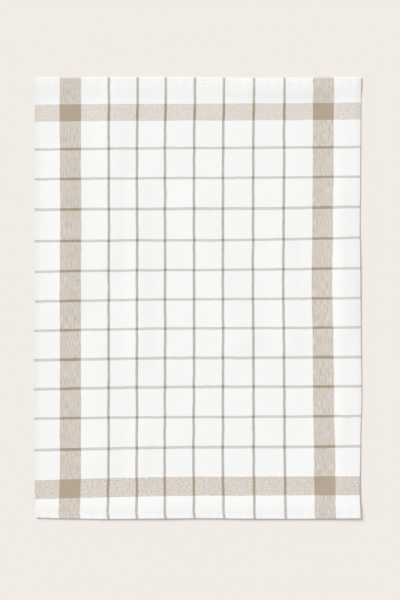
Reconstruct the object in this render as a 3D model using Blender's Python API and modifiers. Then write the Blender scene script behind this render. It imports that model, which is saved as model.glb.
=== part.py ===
"""Tea towel of plain-woven cotton, laid out flat after pressing.

One panel, cut from the roll: a selvedge down each long side, a hem turned under and sewn across each end.
Metres. X runs across the cloth, Y along it, and Z up from the surface that it lies on.
"""

import math

import bmesh
import bpy

# The cloth
WIDTH = 0.500
LENGTH = 0.676
ONE_LAYER = 0.0012
HEM_LAYERS = 2.0
HEM_DEPTH = 0.010
HEM_STEP = 0.004

# The facets of the panel
CELL = 0.0148

# How far in from each edge its lift off the surface reaches, and how much of each lift and crease the pressing
# has left. The right side and the bottom end droop again, or roll over, towards the very edge.
LIFT_REACH = 0.060
PRESSED = 0.60
ROLL_REACH = 0.032
ROLL = 0.0014

# Down each side, from the bottom end to the top: place along Y, how far each selvedge stands out of line,
# and how high it lifts off the surface
SIDES = [
    # along_y, left_out, right_out, left_lift, right_lift
    (-0.338, -0.0010, -0.0010, 0.0022, 0.0034),
    (-0.298, 0.0000, -0.0024, 0.0012, 0.0042),
    (-0.220, 0.0010, -0.0012, 0.0006, 0.0036),
    (-0.150, 0.0020, 0.0006, 0.0002, 0.0028),
    (-0.060, 0.0014, -0.0004, 0.0008, 0.0036),
    (0.040, 0.0002, -0.0012, 0.0002, 0.0044),
    (0.110, 0.0004, -0.0022, 0.0006, 0.0038),
    (0.190, 0.0004, -0.0014, 0.0002, 0.0030),
    (0.270, 0.0002, -0.0008, 0.0004, 0.0020),
    (0.338, -0.0010, 0.0000, 0.0008, 0.0010),
]

# Along each end, from the left to the right: place along X, how far each hem stands out of line, and its lift
ENDS = [
    # along_x, bottom_out, top_out, bottom_lift, top_lift
    (-0.250, -0.0016, 0.0000, 0.0016, 0.0006),
    (-0.205, 0.0000, -0.0004, 0.0030, 0.0002),
    (-0.140, 0.0008, 0.0002, 0.0036, 0.0004),
    (-0.060, 0.0000, 0.0004, 0.0042, 0.0002),
    (0.010, -0.0004, -0.0004, 0.0034, 0.0006),
    (0.080, 0.0002, -0.0010, 0.0042, 0.0010),
    (0.150, 0.0004, -0.0008, 0.0036, 0.0014),
    (0.205, 0.0000, 0.0000, 0.0044, 0.0004),
    (0.250, -0.0004, 0.0004, 0.0040, 0.0008),
]

# The soft creases left by folding and handling, each a low ridge from one point to another
CREASES = [
    # from_x, from_y, to_x, to_y, half_width, height
    (-0.206, 0.215, -0.198, -0.010, 0.030, 0.0014),
    (-0.130, 0.290, -0.138, 0.060, 0.036, 0.0016),
    (-0.094, 0.170, -0.088, -0.090, 0.026, 0.0013),
    (-0.012, 0.140, 0.068, -0.060, 0.040, 0.0018),
    (0.128, 0.100, 0.140, -0.070, 0.030, 0.0010),
    (-0.158, -0.070, -0.146, -0.240, 0.044, 0.0012),
    (-0.084, -0.200, -0.088, -0.275, 0.026, 0.0010),
    (0.214, 0.160, 0.218, -0.050, 0.034, 0.0010),
    (0.206, -0.180, 0.176, -0.260, 0.036, 0.0010),
    (0.080, 0.322, 0.196, 0.318, 0.026, 0.0012),
    (-0.230, -0.300, 0.236, -0.296, 0.030, 0.0008),
]


def clear_scene():
    for obj in list(bpy.data.objects):
        bpy.data.objects.remove(obj, do_unlink=True)


def eased(rows, place, column):
    """The value of one column of a table at this place, easing from each row to the next."""
    if place <= rows[0][0]:
        return rows[0][column]
    for low, high in zip(rows, rows[1:]):
        if place <= high[0]:
            share = (place - low[0]) / (high[0] - low[0])
            share = share * share * (3 - 2 * share)
            return low[column] + share * (high[column] - low[column])
    return rows[-1][column]


def hill(distance):
    """1 in the middle, falling smoothly to exactly 0 at a distance of 1 and beyond."""
    return max(0.0, 1 - distance * distance) ** 2


def crease_height(x, y):
    height = 0.0
    for from_x, from_y, to_x, to_y, half_width, top in CREASES:
        along_x, along_y = to_x - from_x, to_y - from_y
        share = ((x - from_x) * along_x + (y - from_y) * along_y) / (along_x**2 + along_y**2)
        share = min(1.0, max(0.0, share))
        away = math.hypot(x - from_x - share * along_x, y - from_y - share * along_y)
        height += top * hill(away / half_width)
    return height


def edge_lift(x, y):
    """How far the four edges lift the cloth at this point."""
    edges = [
        (WIDTH / 2 + x, eased(SIDES, y, 3)),
        (WIDTH / 2 - x, eased(SIDES, y, 4)),
        (LENGTH / 2 + y, eased(ENDS, x, 3)),
        (LENGTH / 2 - y, eased(ENDS, x, 4)),
    ]
    return math.hypot(*(lift * hill(inward / LIFT_REACH) for inward, lift in edges))


def edge_roll(x, y):
    """How far the lifted right side and bottom end droop again towards the very edge."""
    right = min(1.0, eased(SIDES, y, 4) / 0.0036) * hill((WIDTH / 2 - x) / ROLL_REACH)
    bottom = min(1.0, eased(ENDS, x, 3) / 0.0030) * hill((LENGTH / 2 + y) / ROLL_REACH)
    return ROLL * max(right, bottom)


def uneven(x, y):
    """Where a point of the true rectangle lies on the real cloth, with its wavering edges, lifts and creases."""
    side = eased(SIDES, y, 1 if x < 0 else 2) * x / (WIDTH / 2)
    end = eased(ENDS, x, 1 if y < 0 else 2) * y / (LENGTH / 2)
    height = PRESSED * (edge_lift(x, y) + crease_height(x, y)) - edge_roll(x, y)
    return x + side, y + end, height


def even_stations(start, stop):
    count = math.ceil((stop - start) / CELL)
    return [start + (stop - start) * step / count for step in range(count + 1)]


def rows_along():
    """The rows of facets: one for each hem, one for the step down from it, and even ones between."""
    stitched = LENGTH / 2 - HEM_DEPTH
    stepped = stitched - HEM_STEP
    return [-LENGTH / 2, -stitched, *even_stations(-stepped, stepped), stitched, LENGTH / 2]


def layers_at(y):
    return 1.0 if abs(y) < LENGTH / 2 - HEM_DEPTH else HEM_LAYERS


def cotton():
    material = bpy.data.materials.new("white_and_beige_cotton")
    material.use_nodes = True
    shader = material.node_tree.nodes["Principled BSDF"]
    shader.inputs["Base Color"].default_value = (0.86, 0.85, 0.83, 1)
    shader.inputs["Roughness"].default_value = 0.9
    shader.inputs["Metallic"].default_value = 0.0
    return material


def underside(columns, rows):
    """The lower face of the cloth, its outline centred on the origin."""
    mesh = bpy.data.meshes.new("towel")
    grid = bmesh.new()
    bmesh.ops.create_grid(grid, x_segments=len(columns) - 1, y_segments=len(rows) - 1, size=1)
    for vert in grid.verts:
        column = round((vert.co.x + 1) / 2 * (len(columns) - 1))
        row = round((vert.co.y + 1) / 2 * (len(rows) - 1))
        vert.co = uneven(columns[column], rows[row])
    for axis in range(2):
        places = [vert.co[axis] for vert in grid.verts]
        middle = (min(places) + max(places)) / 2
        for vert in grid.verts:
            vert.co[axis] -= middle
    grid.to_mesh(mesh)
    grid.free()
    return mesh


def towel(collection):
    columns, rows = even_stations(-WIDTH / 2, WIDTH / 2), rows_along()
    obj = bpy.data.objects.new("towel", underside(columns, rows))
    collection.objects.link(obj)
    obj.data.materials.append(cotton())

    layers = obj.vertex_groups.new(name="layers")
    for index in range(len(obj.data.vertices)):
        layers.add([index], layers_at(rows[index // len(columns)]) / HEM_LAYERS, "REPLACE")

    thickness = obj.modifiers.new("thickness", "SOLIDIFY")
    thickness.thickness = ONE_LAYER * HEM_LAYERS
    thickness.offset = 1
    thickness.vertex_group = layers.name

    obj.data.shade_smooth()
    obj.data.set_sharp_from_angle(angle=math.radians(40))


def main():
    clear_scene()
    collection = bpy.data.collections.new("tea_towel")
    bpy.context.scene.collection.children.link(collection)
    towel(collection)


main()
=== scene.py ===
import math

import bpy
import numpy as np
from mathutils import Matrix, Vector, noise


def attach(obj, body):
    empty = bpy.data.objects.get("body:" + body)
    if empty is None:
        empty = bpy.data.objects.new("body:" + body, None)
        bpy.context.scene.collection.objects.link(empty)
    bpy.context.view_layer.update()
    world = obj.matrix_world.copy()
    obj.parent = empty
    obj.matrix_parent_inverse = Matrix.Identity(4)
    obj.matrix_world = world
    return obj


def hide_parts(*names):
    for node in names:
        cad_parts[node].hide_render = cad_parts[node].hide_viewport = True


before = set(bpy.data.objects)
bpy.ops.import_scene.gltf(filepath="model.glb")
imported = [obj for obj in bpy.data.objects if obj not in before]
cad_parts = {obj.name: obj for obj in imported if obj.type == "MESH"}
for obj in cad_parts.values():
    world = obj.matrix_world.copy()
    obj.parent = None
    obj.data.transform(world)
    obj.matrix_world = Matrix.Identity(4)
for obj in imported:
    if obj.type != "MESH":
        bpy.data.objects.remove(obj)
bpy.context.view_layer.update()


# ---------------------------------------------------------------- the cloth
# One panel of plain-woven cotton, cut from the roll, with a selvedge down each long side.
# Each end is turned under twice: the end folds under, comes back one hem's depth, and the raw edge is tucked
# inside between the two layers. It lies flat after pressing, with its edges a little lifted.

WIDTH = 0.500
LENGTH = 0.676
LAYER = 0.00042        # thickness of the cloth
STACK = 0.00046        # from one layer of a hem to the next
HEM = 0.0115           # depth of the turned hem
SEWN_IN = 0.010        # how far in from the end fold the stitches run
STITCHED = LENGTH / 2 - SEWN_IN
RAW_EDGE = 0.0028      # how far short of the end fold the tucked raw edge stops
STEP_DOWN = 0.0230     # the cloth comes down off the hem over this distance
PRESSED = 0.60         # how much of each crease and lift the pressing has left
LIFT_REACH = 0.060     # how far in from each edge its lift reaches
ROLL_REACH = 0.032     # the right side and the bottom end roll over within this distance of the edge
ROLL = 0.0014          # how far they droop again at the very edge
SIDE_ROLLS = 0.0036    # a side that lifts this far droops in full, and one that lifts less droops less
END_ROLLS = 0.0030     # the same for the bottom end
CENTRE_X = 0.0007      # the outline is centred on the origin, and its left side stands out the more
COLUMNS = 150          # faces from one selvedge to the other
ROW = 0.0033           # length of a face along the cloth, away from the hems

# Down each side: how far its selvedge stands out of line, and how high it lifts off the table
SIDES = [
    # along_y, left_out, right_out, left_lift, right_lift
    (-0.338, -0.0010, -0.0010, 0.0022, 0.0034),
    (-0.298, 0.0000, -0.0024, 0.0012, 0.0042),
    (-0.220, 0.0010, -0.0012, 0.0006, 0.0036),
    (-0.150, 0.0020, 0.0006, 0.0002, 0.0028),
    (-0.060, 0.0014, -0.0004, 0.0008, 0.0036),
    (0.040, 0.0002, -0.0012, 0.0002, 0.0044),
    (0.110, 0.0004, -0.0022, 0.0006, 0.0038),
    (0.190, 0.0004, -0.0014, 0.0002, 0.0030),
    (0.270, 0.0002, -0.0008, 0.0004, 0.0020),
    (0.338, -0.0010, 0.0000, 0.0008, 0.0010),
]
# Along each end: how far the hem stands out of line, and how high it lifts
ENDS = [
    # along_x, bottom_out, top_out, bottom_lift, top_lift
    (-0.250, -0.0016, 0.0000, 0.0016, 0.0006),
    (-0.205, 0.0000, -0.0004, 0.0030, 0.0002),
    (-0.140, 0.0008, 0.0002, 0.0036, 0.0004),
    (-0.060, 0.0000, 0.0004, 0.0042, 0.0002),
    (0.010, -0.0004, -0.0004, 0.0034, 0.0006),
    (0.080, 0.0002, -0.0010, 0.0042, 0.0010),
    (0.150, 0.0004, -0.0008, 0.0036, 0.0014),
    (0.205, 0.0000, 0.0000, 0.0044, 0.0004),
    (0.250, -0.0004, 0.0004, 0.0040, 0.0008),
]
# The soft creases left by folding and handling, each a low ridge from one point to another
CREASES = [
    # from_x, from_y, to_x, to_y, half_width, height
    (-0.206, 0.215, -0.198, -0.010, 0.030, 0.0014),
    (-0.130, 0.290, -0.138, 0.060, 0.036, 0.0016),
    (-0.094, 0.170, -0.088, -0.090, 0.026, 0.0013),
    (-0.012, 0.140, 0.068, -0.060, 0.040, 0.0018),
    (0.128, 0.100, 0.140, -0.070, 0.030, 0.0010),
    (-0.158, -0.070, -0.146, -0.240, 0.044, 0.0012),
    (-0.084, -0.200, -0.088, -0.275, 0.026, 0.0010),
    (0.214, 0.160, 0.218, -0.050, 0.034, 0.0010),
    (0.206, -0.180, 0.176, -0.260, 0.036, 0.0010),
    (0.080, 0.322, 0.196, 0.318, 0.026, 0.0012),
    (-0.230, -0.300, 0.236, -0.296, 0.030, 0.0008),
]

# How far the lengthwise yarns stray sideways, at the left band, the middle line and the right band
WARP_DRIFT = [
    # along_y, left, middle, right
    (-0.338, -0.0008, 0.0010, 0.0034),
    (-0.327, -0.0021, -0.0002, 0.0028),
    (-0.317, -0.0011, -0.0001, 0.0026),
    (-0.256, 0.0001, -0.0010, 0.0021),
    (-0.161, 0.0002, -0.0004, 0.0006),
    (-0.072, 0.0000, 0.0000, -0.0003),
    (0.020, 0.0000, 0.0000, -0.0021),
    (0.112, 0.0006, -0.0002, -0.0010),
    (0.206, 0.0002, -0.0002, -0.0001),
    (0.258, 0.0000, 0.0001, -0.0003),
    (0.300, 0.0001, 0.0013, 0.0002),
    (0.338, 0.0002, 0.0014, 0.0002),
]
# How far the crosswise yarns stray up the cloth, towards its left and right sides
WEFT_RISE = [
    # along_y, left, right
    (-0.288, -0.0050, 0.0010),
    (-0.229, -0.0042, 0.0014),
    (-0.183, -0.0022, 0.0016),
    (-0.136, -0.0035, 0.0008),
    (-0.046, -0.0036, 0.0014),
    (0.043, -0.0025, 0.0026),
    (0.088, -0.0014, 0.0036),
    (0.137, -0.0012, 0.0027),
    (0.230, -0.0023, 0.0014),
    (0.285, -0.0014, 0.0015),
]


def eased(rows, place, column):
    """The value of one column of a table at this place, easing from each row to the next."""
    if place <= rows[0][0]:
        return rows[0][column]
    for low, high in zip(rows, rows[1:]):
        if place <= high[0]:
            share = (place - low[0]) / (high[0] - low[0])
            share = share * share * (3 - 2 * share)
            return low[column] + share * (high[column] - low[column])
    return rows[-1][column]


def hill(distance):
    """1 in the middle, falling smoothly to exactly 0 at a distance of 1 and beyond."""
    return max(0.0, 1 - distance * distance) ** 2


def crease_height(x, y):
    height = 0.0
    for from_x, from_y, to_x, to_y, half_width, top in CREASES:
        along_x = to_x - from_x
        along_y = to_y - from_y
        share = ((x - from_x) * along_x + (y - from_y) * along_y) / (along_x**2 + along_y**2)
        share = min(1.0, max(0.0, share))
        away = math.hypot(x - from_x - share * along_x, y - from_y - share * along_y)
        height += top * hill(away / half_width)
    return height


def edge_lift(x, y):
    edges = [
        (WIDTH / 2 + x, eased(SIDES, y, 3)),
        (WIDTH / 2 - x, eased(SIDES, y, 4)),
        (LENGTH / 2 + y, eased(ENDS, x, 3)),
        (LENGTH / 2 - y, eased(ENDS, x, 4)),
    ]
    return math.hypot(*(lift * hill(inward / LIFT_REACH) for inward, lift in edges))


def edge_roll(x, y):
    """How far the lifted right side and bottom end droop again towards the very edge."""
    right = min(1.0, eased(SIDES, y, 4) / SIDE_ROLLS) * hill((WIDTH / 2 - x) / ROLL_REACH)
    bottom = min(1.0, eased(ENDS, x, 3) / END_ROLLS) * hill((LENGTH / 2 + y) / ROLL_REACH)
    return ROLL * max(right, bottom)


COCKLES = [
    # height, size across, size along, seed
    (0.00030, 0.045, 0.070, 1.7),
    (0.00010, 0.016, 0.020, 5.2),
]
PUCKER = 0.00028       # height of the puckers at the hem
PUCKER_REACH = 0.032
PUCKER_WAVE = 0.0024   # length of one pucker, over two pi
PUCKER_DRIFT = 0.05    # the puckers crowd and spread over this distance


def unevenness(x, y):
    """The small cockle of pressed cotton, and the puckers that the stitching pulls up along each hem."""
    cockle = 0.0
    for height, across, along, seed in COCKLES:
        cockle += height * (0.5 + 0.5 * noise.noise(Vector((x / across, y / along, seed))))
    near_hem = hill((LENGTH / 2 - abs(y)) / PUCKER_REACH)
    end = 1 if y > 0 else -1
    drift = 5 * noise.noise(Vector((x / PUCKER_DRIFT, end * 3.1, 0.4)))
    pucker = 0.5 + 0.5 * math.sin(x / PUCKER_WAVE + drift)
    return cockle + PUCKER * near_hem * pucker


def cloth_base(x, y):
    """Height of the cloth's underside over the table."""
    return PRESSED * (edge_lift(x, y) + crease_height(x, y)) - edge_roll(x, y) + unevenness(x, y)


TUG = 0.00022          # how far the crosswise yarns tug the selvedge in and out
TUG_LENGTH = 0.011


def in_plan(x, y):
    """Where a point of the true rectangle lies on the real cloth, whose edges waver a little."""
    side = eased(SIDES, y, 1 if x < 0 else 2) * x / (WIDTH / 2)
    end = eased(ENDS, x, 1 if y < 0 else 2) * y / (LENGTH / 2)
    near_side = abs(x / (WIDTH / 2)) ** 8
    tug = TUG * noise.noise(Vector((y / TUG_LENGTH, math.copysign(2.0, x), 0))) * near_side
    return x + side + tug + CENTRE_X, y + end


LEFT_BAND_AT = 0.196
RIGHT_BAND_AT = 0.192
PAST_BAND = 1.2        # the straying goes on past a band, up to this many times what it is there
STRAY_AT = 0.235       # the crosswise yarns' straying is given at this distance from the middle


def warp_drift(x, y):
    left, middle, right = (eased(WARP_DRIFT, y, column) for column in (1, 2, 3))
    if x < 0:
        return middle + (left - middle) * min(PAST_BAND, -x / LEFT_BAND_AT)
    return middle + (right - middle) * min(PAST_BAND, x / RIGHT_BAND_AT)


def weft_rise(x, y):
    return eased(WEFT_RISE, y, 1 if x < 0 else 2) * (abs(x) / STRAY_AT) ** 1.5


# How many faces each stretch of the folded end has along the path, in the order that the path takes them
RISE_ROWS = 10
UPPER_ROWS = 12
OUTER_FOLD_ROWS = 7
LOWER_ROWS = 8
INNER_FOLD_ROWS = 5
TUCKED_ROWS = 5
FOLD_CLEAR = 0.0002    # the upper layer is fully up this far before the inner fold under it
PULL = 0.00006         # how far the stitches pull the upper layer down
PULL_REACH = 0.0016


def half_path():
    """From the middle of the cloth to the raw edge of one hem. Each stop on the way gives its place along Y,
    the height of the cloth's middle, the way it faces as y and z, and the length of cloth used so far."""
    fold_at = LENGTH / 2 - HEM
    rise_to = fold_at - FOLD_CLEAR
    rise_from = rise_to - STEP_DOWN
    last_flat = LENGTH / 2 - STACK - LAYER / 2
    inner = fold_at + STACK / 2 + LAYER / 2
    raw = LENGTH / 2 - RAW_EDGE
    stops = []
    flat_rows = round(rise_from / ROW)
    for step in range(flat_rows):
        stops.append((rise_from * step / flat_rows, LAYER / 2, 0.0))
    for step in range(RISE_ROWS):
        share = step / RISE_ROWS
        risen = 2 * STACK * share * share * (3 - 2 * share)
        stops.append((rise_from + STEP_DOWN * share, LAYER / 2 + risen, 0.0))
    for step in range(UPPER_ROWS):
        stops.append((rise_to + (last_flat - rise_to) * step / UPPER_ROWS, LAYER / 2 + 2 * STACK, 1.0))
    for step in range(OUTER_FOLD_ROWS + 1):
        turn = math.pi * step / OUTER_FOLD_ROWS
        stops.append((last_flat + STACK * math.sin(turn), LAYER / 2 + STACK + STACK * math.cos(turn), 0.0))
    for step in range(1, LOWER_ROWS):
        stops.append((last_flat + (inner - last_flat) * step / LOWER_ROWS, LAYER / 2, 0.0))
    for step in range(INNER_FOLD_ROWS + 1):
        turn = math.pi * step / INNER_FOLD_ROWS
        turned_y = inner - STACK / 2 * math.sin(turn)
        turned_z = LAYER / 2 + STACK / 2 - STACK / 2 * math.cos(turn)
        stops.append((turned_y, turned_z, 0.0))
    for step in range(1, TUCKED_ROWS + 1):
        stops.append((inner + (raw - inner) * step / TUCKED_ROWS, LAYER / 2 + STACK, 0.5))
    path = []
    used = 0.0
    for index, (y, z, pulled) in enumerate(stops):
        before = stops[max(0, index - 1)]
        after = stops[min(len(stops) - 1, index + 1)]
        run_y = after[0] - before[0]
        run_z = after[1] - before[1]
        run = math.hypot(run_y, run_z)
        used += math.hypot(y - before[0], z - before[1])
        pulled *= hill((y - STITCHED) / PULL_REACH)
        path.append((y, z - PULL * pulled, -run_z / run, run_y / run, used))
    return path


def whole_path():
    """The half path mirrored, as one run of cloth from the raw edge of one hem to that of the other."""
    half = half_path()
    low = [(-y, z, -facing_y, facing_z, -used) for y, z, facing_y, facing_z, used in half[:0:-1]]
    return low + half


def at_rest(x, y, z):
    """A point of the flat pattern laid on the table, its hem layers counted in z."""
    plan_x, plan_y = in_plan(x, y)
    return plan_x, plan_y, z + cloth_base(x, y)


SELVEDGE_BULGE = 0.35  # how far the selvedge rounds out, in thicknesses of the cloth

# Where each face of the cloth lies on the square that its colour is baked to: the upper face at the left, the
# lower face at the right, and the rims in the narrow strip between them
FACE_WIDTH = 0.470
FACE_HEIGHT = 0.975
FACE_LEFT = 0.012
FACE_BOTTOM = 0.0125
LOWER_RIGHTWARDS = 0.506
RIM_NARROWED = 0.01
RIM_LEFT = 0.4925
SPARE_LENGTH = 0.002


def cloth_mesh():
    """A closed sheet: the upper face, the lower face and the rims between them."""
    path = whole_path()
    columns = [-WIDTH / 2 + WIDTH * column / COLUMNS for column in range(COLUMNS + 1)]
    # A column close to each selvedge keeps the rounding of the rim off the rest of the face.
    columns[1:1] = [-WIDTH / 2 + LAYER]
    columns[-1:-1] = [WIDTH / 2 - LAYER]
    upper = []
    lower = []
    yarns = []
    for y, z, facing_y, facing_z, used in path:
        for x in columns:
            plan_x, plan_y, height = at_rest(x, y, z)
            shift_y = facing_y * LAYER / 2
            shift_z = facing_z * LAYER / 2
            upper.append((plan_x, plan_y + shift_y, height + shift_z))
            lower.append((plan_x, plan_y - shift_y, height - shift_z))
            yarns.append((plan_x - CENTRE_X - warp_drift(x, y), used + plan_y - y - weft_rise(x, y)))
    rows = len(path)
    wide = len(columns)
    under = rows * wide
    points = upper + lower
    spots = yarns + yarns
    faces = []
    patches = []

    def lay(corners, patch):
        faces.append(corners)
        patches.append(patch)

    for row in range(rows - 1):
        for column in range(wide - 1):
            here = row * wide + column
            next_row = here + wide
            lay((here, here + 1, next_row + 1, next_row), "upper")
            lay((under + next_row, under + next_row + 1, under + here + 1, under + here), "lower")
    left_rim = []
    right_rim = []
    for row in range(rows):
        for rim, column, side in ((left_rim, 0, -1), (right_rim, wide - 1, 1)):
            top = points[row * wide + column]
            bottom = points[under + row * wide + column]
            rim.append(len(points))
            points.append(((top[0] + bottom[0]) / 2 + side * LAYER * SELVEDGE_BULGE,
                           (top[1] + bottom[1]) / 2,
                           (top[2] + bottom[2]) / 2))
            spots.append(spots[row * wide + column])
    for row in range(rows - 1):
        left = row * wide
        next_left = left + wide
        lay((left, next_left, left_rim[row + 1], left_rim[row]), "rim")
        lay((left_rim[row], left_rim[row + 1], under + next_left, under + left), "rim")
        right = left + wide - 1
        next_right = next_left + wide - 1
        lay((right, right_rim[row], right_rim[row + 1], next_right), "rim")
        lay((right_rim[row], under + right, under + next_right, right_rim[row + 1]), "rim")
    last = (rows - 1) * wide
    for column in range(wide - 1):
        lay((column + 1, column, under + column, under + column + 1), "rim")
        here = last + column
        lay((here, here + 1, under + here + 1, under + here), "rim")
    lay((0, left_rim[0], under), "rim")
    lay((wide - 1, under + wide - 1, right_rim[0]), "rim")
    lay((last, under + last, left_rim[-1]), "rim")
    lay((last + wide - 1, right_rim[-1], under + last + wide - 1), "rim")
    mesh = bpy.data.meshes.new("cloth_panel")
    mesh.from_pydata(points, [], faces)
    mesh.update()
    grain = mesh.uv_layers.new(name="yarns")
    bake = mesh.uv_layers.new(name="OFBake")
    corner_points = np.zeros(len(mesh.loops), np.int64)
    mesh.loops.foreach_get("vertex_index", corner_points)
    spots = np.array(spots)
    grain.data.foreach_set("uv", spots[corner_points].astype(np.float32).ravel())
    patch_of = np.repeat(np.array(patches), [len(face) for face in faces])
    longest = max(stop[4] for stop in path) + SPARE_LENGTH
    u = (spots[corner_points, 0] / WIDTH + 0.5) * FACE_WIDTH + FACE_LEFT
    v = (spots[corner_points, 1] / longest + 1) / 2 * FACE_HEIGHT + FACE_BOTTOM
    u = np.where(patch_of == "lower", u + LOWER_RIGHTWARDS, u)
    u = np.where(patch_of == "rim", u * RIM_NARROWED + RIM_LEFT, u)
    bake.data.foreach_set("uv", np.stack([u, v], 1).astype(np.float32).ravel())
    mesh.uv_layers.active = grain
    grain.active_render = True
    mesh.shade_smooth()
    mesh.set_sharp_from_angle(angle=math.radians(60))
    return mesh


FULL_LIGHT = 1.06      # how much light falls on a level surface


def linear(red, green, blue):
    """An sRGB colour as it looks in full light, turned into the share of light that the yarn gives back."""
    return tuple(((c / 255 + 0.055) / 1.055) ** 2.4 / FULL_LIGHT for c in (red, green, blue)) + (1.0,)


class Shade:
    """One value over the cloth. Arithmetic on it adds Math nodes."""

    def __init__(self, socket):
        self.socket = socket

    @staticmethod
    def node(tree, kind, settings=None, sockets=None, output=0):
        made = tree.nodes.new(kind)
        for name, value in (settings or {}).items():
            setattr(made, name, value)
        for name, value in (sockets or {}).items():
            if isinstance(value, Shade):
                tree.links.new(value.socket, made.inputs[name])
            else:
                made.inputs[name].default_value = value
        return Shade(made.outputs[output])

    def math(self, operation, *others, clamp=False):
        sockets = dict(enumerate((self, *others)))
        return Shade.node(self.socket.id_data, "ShaderNodeMath",
                          {"operation": operation, "use_clamp": clamp}, sockets)

    def __add__(self, other):
        return self.math("ADD", other)

    __radd__ = __add__

    def __sub__(self, other):
        return self.math("SUBTRACT", other)

    def __rsub__(self, other):
        return (self * -1.0) + other

    def __mul__(self, other):
        return self.math("MULTIPLY", other)

    __rmul__ = __mul__

    def __truediv__(self, other):
        return self.math("DIVIDE", other)


YARN = 0.00050         # from one yarn to the next, both ways
WARP_BANDS = [
    # centre, width
    (-0.1956, 0.0325),
    (0.1920, 0.0323),
]
WARP_LINES = [-0.1370, -0.0936, -0.0504, -0.0060, 0.0386, 0.0848, 0.1318]
WEFT_BANDS = [
    # centre, width, how much more of it shows than of the plain cloth
    (0.2850, 0.0264, 0.03),
    (-0.2884, 0.0290, 0.14),
]
WEFT_LINES = [0.2300, 0.1839, 0.1368, 0.0884, 0.0430, -0.0019, -0.0464, -0.0918, -0.1362, -0.1826, -0.2288]
WARP_LINE_WIDTH = 0.0040
WEFT_LINE_WIDTH = 0.0042
WHITE_YARN = linear(248, 248, 247)
BAND_YARN = linear(183, 163, 140)
LINE_YARN = linear(142, 126, 106)
CROSSED_LINE = linear(158, 147, 131)
CROSSED_BANDS = linear(178, 166, 149)
BANDS_CROSS = 0.6      # how much of their own colour the crossing bands take on

# How far a yarn wanders, over what length of it, and how widely its neighbours wander with it
WANDER = 0.0016
WANDER_ALONG = 0.024
WANDER_BESIDE = 0.060

# The weave. Its heights are in steps of RELIEF.
CRIMP = 0.5            # how far a yarn rises over the next one and dips under it
ROUNDED = 3.0          # how far it falls away towards its sides
WARP_PROUD = 0.25      # how much higher the lengthwise yarns stand
PASSING = 6.0          # how sharply one yarn gives way to the other
WEAVE_SHOWS = 0.55     # how much of the colour comes from the yarn on top
WARP_COVER = 0.6       # the lengthwise yarns' share of the rest

# Spun yarn's thick and thin lengths, and how much each of them and each yarn's own dye shows
WARP_STREAK_WIDTH = 0.0011
WARP_STREAK_LENGTH = 0.0120
WEFT_STREAK_WIDTH = 0.0016
WEFT_STREAK_LENGTH = 0.0038
WARP_STREAKED = 2.1
WEFT_STREAKED = 2.5
DYE_VARIES = 0.20
CROSSING_EVENS = 0.55  # how much of that is lost where two dyed yarns cross

SELVEDGE = 0.010       # width of the strip at each side that is painted darker: a little of it the selvedge's closer weave, most of it painted shade where the edge rolls down
# how much darker the side strips are painted, mostly painted shade of the rolled edge
SELVEDGE_PAINTED_SHADE = 0.080
MOTTLE_SIZE = 0.004
MOTTLE = 0.05
ROUGHNESS = 0.88
ROUGHNESS_VARIES = 0.10
STREAK_RELIEF = 1.2    # how much higher the thick lengths stand than the thin ones
RELIEF = 0.000045      # one step of height


def stripe(place, centre, width):
    """1 on the yarns of this stripe and 0 off it."""
    return (place - centre).math("ABSOLUTE").math("LESS_THAN", width / 2)


def stripes(place, rows):
    """All the stripes of a list together, each at its own strength where the list gives one."""
    total = 0.0
    for centre, width, *strength in rows:
        total = stripe(place, centre, width) * (strength[0] if strength else 1.0) + total
    return total


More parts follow.
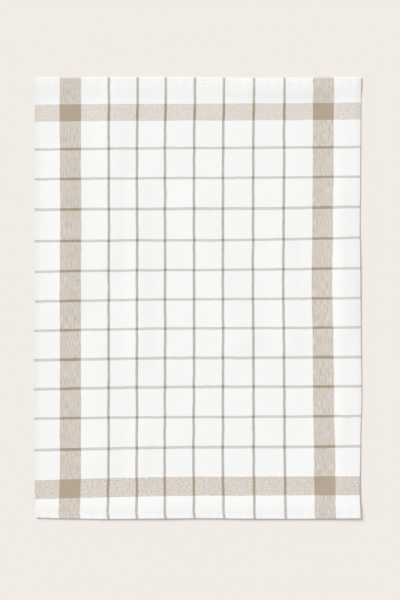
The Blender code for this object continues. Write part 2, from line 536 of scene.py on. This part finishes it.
def cotton():
    material = bpy.data.materials.new("white_and_beige_cotton")
    material.use_nodes = True
    tree = material.node_tree
    shader = tree.nodes["Principled BSDF"]

    def make(kind, settings=None, sockets=None, output=0):
        return Shade.node(tree, kind, settings, sockets, output)

    def clouds(x, y, seed):
        spot = make("ShaderNodeCombineXYZ", sockets={0: x, 1: y, 2: seed})
        return make("ShaderNodeTexNoise", {"noise_dimensions": "3D"},
                    {"Vector": spot, "Scale": 1.0, "Detail": 1.0, "Roughness": 0.5})

    def blend(share, first, second, mode="MIX"):
        return make("ShaderNodeMix", {"data_type": "RGBA", "blend_type": mode, "clamp_factor": True},
                    {0: share, 6: first, 7: second}, 2)

    grain = make("ShaderNodeUVMap", {"uv_map": "yarns"})
    across_grain = make("ShaderNodeSeparateXYZ", sockets={0: grain}, output=0)
    along_grain = make("ShaderNodeSeparateXYZ", sockets={0: grain}, output=1)

    # Yarns wander a little between their neighbours.
    wander_warp = clouds(across_grain / WANDER_BESIDE, along_grain / WANDER_ALONG, seed=3.1)
    wander_weft = clouds(across_grain / WANDER_ALONG, along_grain / WANDER_BESIDE, seed=7.7)
    warp_place = (across_grain + (wander_warp - 0.5) * WANDER) / YARN
    weft_place = (along_grain + (wander_weft - 0.5) * WANDER) / YARN
    warp_number = warp_place.math("FLOOR")
    weft_number = weft_place.math("FLOOR")
    warp_side = warp_place.math("FRACT") - 0.5
    weft_side = weft_place.math("FRACT") - 0.5

    # Plain weave: each yarn passes over one and under the next, and the lengthwise ones show more.
    warp_wave = ((weft_place - 0.5 + warp_number) * math.pi).math("COSINE")
    weft_wave = ((warp_place - 0.5 + weft_number) * math.pi).math("COSINE")
    warp_height = warp_wave * CRIMP - warp_side * warp_side * ROUNDED
    weft_height = weft_wave * -CRIMP - weft_side * weft_side * ROUNDED
    warp_over = ((warp_height - weft_height + WARP_PROUD) * PASSING).math("ADD", 0.5, clamp=True)
    warp_share = warp_over * WEAVE_SHOWS + WARP_COVER * (1 - WEAVE_SHOWS)

    # Which yarns are dyed, and where the crosswise ones are beaten closer and show more.
    warp_at = (warp_number + 0.5) * YARN
    weft_at = (weft_number + 0.5) * YARN
    warp_band = stripes(warp_at, WARP_BANDS)
    warp_line = stripes(warp_at, [(centre, WARP_LINE_WIDTH) for centre in WARP_LINES])
    weft_band = stripes(weft_at, [(centre, width) for centre, width, closer in WEFT_BANDS])
    warp_share = warp_share - stripes(weft_at, WEFT_BANDS)
    weft_line = stripes(weft_at, [(centre, WEFT_LINE_WIDTH) for centre in WEFT_LINES])

    # Spun yarn is uneven: thick and thin lengths, and each dyed yarn a slightly different depth.
    warp_streak = clouds(across_grain / WARP_STREAK_WIDTH, along_grain / WARP_STREAK_LENGTH, seed=11.0) - 0.5
    weft_streak = clouds(across_grain / WEFT_STREAK_LENGTH, along_grain / WEFT_STREAK_WIDTH, seed=17.0) - 0.5
    warp_own = make("ShaderNodeTexWhiteNoise", {"noise_dimensions": "1D"}, {"W": warp_number}) - 0.5
    weft_own = make("ShaderNodeTexWhiteNoise", {"noise_dimensions": "1D"}, {"W": weft_number + 0.37}) - 0.5
    warp_depth = (warp_streak * WARP_STREAKED + warp_own * DYE_VARIES) + 1.0
    weft_depth = (weft_streak * WEFT_STREAKED + weft_own * DYE_VARIES) + 1.0

    def depth_of(depth):
        return make("ShaderNodeCombineColor", sockets={0: depth, 1: depth, 2: depth})

    def dyed(band, line, depth, crossed):
        colour = blend(line, BAND_YARN, blend(crossed, LINE_YARN, CROSSED_LINE))
        depth = (depth - 1.0) * (1.0 - crossed * CROSSING_EVENS) + 1.0
        uneven = blend(1.0, colour, depth_of(depth), "MULTIPLY")
        return blend(band + line, WHITE_YARN, uneven)

    warp_colour = dyed(warp_band, warp_line, warp_depth, weft_band + weft_line)
    weft_colour = dyed(weft_band, weft_line, weft_depth, warp_band + warp_line)
    woven = blend(warp_share, weft_colour, warp_colour)
    woven = blend(warp_band * weft_band * BANDS_CROSS, woven, CROSSED_BANDS)

    # The strip along each selvedge is painted darker: a little of it is the closer weave, most of it is
    # painted shade where the edge rolls down. The whole cloth is also very slightly uneven in tone.
    from_side = WIDTH / 2 - across_grain.math("ABSOLUTE")
    selvedge = (1.0 - from_side / SELVEDGE).math("MAXIMUM", 0.0)
    mottle = clouds(across_grain / MOTTLE_SIZE, along_grain / MOTTLE_SIZE, seed=23.0) - 0.5
    # painted shade along each side, with the cloth's random mottle on top
    edge_shade_and_mottle = 1.0 - selvedge * SELVEDGE_PAINTED_SHADE + mottle * MOTTLE
    tree.links.new(blend(1.0, woven, depth_of(edge_shade_and_mottle), "MULTIPLY").socket, shader.inputs["Base Color"])

    rough = ROUGHNESS + (warp_streak + weft_streak) * ROUGHNESS_VARIES
    tree.links.new(rough.socket, shader.inputs["Roughness"])
    relief = warp_height.math("MAXIMUM", weft_height) + (warp_streak + weft_streak) * STREAK_RELIEF
    bump = make("ShaderNodeBump", sockets={"Height": relief, "Strength": 1.0, "Distance": RELIEF})
    tree.links.new(bump.socket, shader.inputs["Normal"])
    shader.inputs["Sheen Weight"].default_value = 0.04
    shader.inputs["Specular IOR Level"].default_value = 0.25
    return material


cloth = bpy.data.objects.new("cloth_panel", cloth_mesh())
bpy.context.scene.collection.objects.link(cloth)
cloth.data.materials.append(cotton())
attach(cloth, "root")
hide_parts("towel")


# ---------------------------------------------------------------- the hem stitching
# One row of lockstitch in white sewing thread along each hem, through all three layers, about three
# millimetres to a stitch. The needle thread lies on the upper face and the bobbin thread on the lower.

STITCH = 0.0031        # from one stitch to the next
THREAD = 0.00060       # thickness of the thread
GAP = 0.0006           # between two stitches, where the thread goes through the cloth
RING = 6               # sides of the thread's mesh
STITCH_STEPS = 5       # lengths of mesh in one stitch
UNSEWN = 0.003         # the rows stop this far short of each selvedge
STANDS_OFF = 0.00002   # the middle of the thread lies this far outside the cloth
DIP = 0.00022          # how far a stitch's ends go down into the cloth
SLANT = 0.00012        # how far each end strays from the row
TAPER = 0.35           # how much thinner the thread is drawn at the ends


def stitch_rows():
    """Points and faces of every stitch, each a short tube that dips into the cloth at both ends."""
    points = []
    faces = []
    count = round((WIDTH - 2 * UNSEWN) / STITCH)
    for end in (1, -1):
        for top, face in ((LAYER + 2 * STACK + STANDS_OFF, 1), (STANDS_OFF, -1)):
            for index in range(count):
                middle = -WIDTH / 2 + UNSEWN + (index + 0.5) * STITCH
                start = len(points)
                for step in range(STITCH_STEPS + 1):
                    share = step / STITCH_STEPS * 2 - 1
                    x = middle + share * (STITCH - GAP) / 2
                    y = end * (STITCHED + SLANT * share)
                    dip = face * DIP * share**4
                    centre_x, centre_y, centre_z = at_rest(x, y, top - dip)
                    radius = THREAD / 2 * (1 - TAPER * share**4)
                    for corner in range(RING):
                        turn = 2 * math.pi * corner / RING
                        points.append((centre_x,
                                       centre_y + radius * math.cos(turn),
                                       centre_z + radius * math.sin(turn)))
                for step in range(STITCH_STEPS):
                    for corner in range(RING):
                        here = start + step * RING + corner
                        beside = start + step * RING + (corner + 1) % RING
                        faces.append((here, beside, beside + RING, here + RING))
                faces.append(tuple(start + corner for corner in reversed(range(RING))))
                faces.append(tuple(start + STITCH_STEPS * RING + corner for corner in range(RING)))
    return points, faces


def sewing_thread():
    material = bpy.data.materials.new("white_sewing_thread")
    material.use_nodes = True
    tree = material.node_tree
    shader = tree.nodes["Principled BSDF"]
    place = Shade.node(tree, "ShaderNodeTexCoord", output=3)
    twist = Shade.node(tree, "ShaderNodeTexNoise", {"noise_dimensions": "3D"},
                       {"Vector": place, "Scale": 900.0, "Detail": 1.0})
    colour = Shade.node(tree, "ShaderNodeMix", {"data_type": "RGBA"},
                        {0: twist, 6: linear(238, 237, 233), 7: linear(252, 252, 250)}, 2)
    tree.links.new(colour.socket, shader.inputs["Base Color"])
    shader.inputs["Roughness"].default_value = 0.7
    return material


stitch_mesh = bpy.data.meshes.new("hem_stitches")
stitch_points, stitch_faces = stitch_rows()
stitch_mesh.from_pydata(stitch_points, [], stitch_faces)
stitch_mesh.shade_smooth()
stitches = bpy.data.objects.new("hem_stitches", stitch_mesh)
bpy.context.scene.collection.objects.link(stitches)
stitches.data.materials.append(sewing_thread())
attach(stitches, "root")

# Each end takes up the hem's depth and the tucked raw edge, so the panel is cut longer than the towel.
CUT_LENGTH = 2 * half_path()[-1][4]


# ---------------------------------------------------------------- the table, the light and the camera
# A plain pale table top under the towel. A broad soft light stands low at the upper left, and the pale room
# fills in the rest. The camera looks straight down.

TABLE_REACH = 12
table_corners = [(-1, -1), (1, -1), (1, 1), (-1, 1)]
table_mesh = bpy.data.meshes.new("table_top")
table_mesh.from_pydata([(x * TABLE_REACH, y * TABLE_REACH, 0) for x, y in table_corners], [], [(0, 1, 2, 3)])
table = bpy.data.objects.new("table_top", table_mesh)
bpy.context.scene.collection.objects.link(table)
pale = bpy.data.materials.new("pale_table")
pale.use_nodes = True
pale_shader = pale.node_tree.nodes["Principled BSDF"]
pale_shader.inputs["Base Color"].default_value = linear(241, 236, 230)
pale_shader.inputs["Roughness"].default_value = 0.95
pale_shader.inputs["Specular IOR Level"].default_value = 0.1
table.data.materials.append(pale)

KEY_ELEVATION = math.radians(28)
KEY_FROM = math.radians(135)
KEY_SPREAD = math.radians(24)
KEY_SHARE = 0.42       # of the full light, and the room gives the rest

key = bpy.data.lights.new("key", "SUN")
key.energy = FULL_LIGHT * KEY_SHARE * math.pi / math.sin(KEY_ELEVATION)
key.angle = KEY_SPREAD
key_light = bpy.data.objects.new("key", key)
towards = Vector((math.cos(KEY_FROM) * math.cos(KEY_ELEVATION),
                  math.sin(KEY_FROM) * math.cos(KEY_ELEVATION),
                  math.sin(KEY_ELEVATION)))
key_light.rotation_euler = towards.to_track_quat("Z", "Y").to_euler()
bpy.context.scene.collection.objects.link(key_light)

room = bpy.data.worlds.new("room")
room.use_nodes = True
room.node_tree.nodes["Background"].inputs[0].default_value = (1.0, 1.0, 1.0, 1.0)
room.node_tree.nodes["Background"].inputs[1].default_value = FULL_LIGHT * (1 - KEY_SHARE)
bpy.context.scene.world = room
bpy.context.scene.view_settings.view_transform = "Standard"

CAMERA_HEIGHT = 2.5
SEEN_LENGTH = 0.920    # of the table, from the top to the bottom of the view
CAMERA_ASIDE = 0.003
camera = bpy.data.cameras.new("camera")
camera.sensor_width = 36.0
camera.lens = camera.sensor_width * CAMERA_HEIGHT / SEEN_LENGTH
camera_object = bpy.data.objects.new("camera", camera)
camera_object.location = (CAMERA_ASIDE + CENTRE_X, -CAMERA_ASIDE, CAMERA_HEIGHT)
bpy.context.scene.collection.objects.link(camera_object)
bpy.context.scene.camera = camera_object
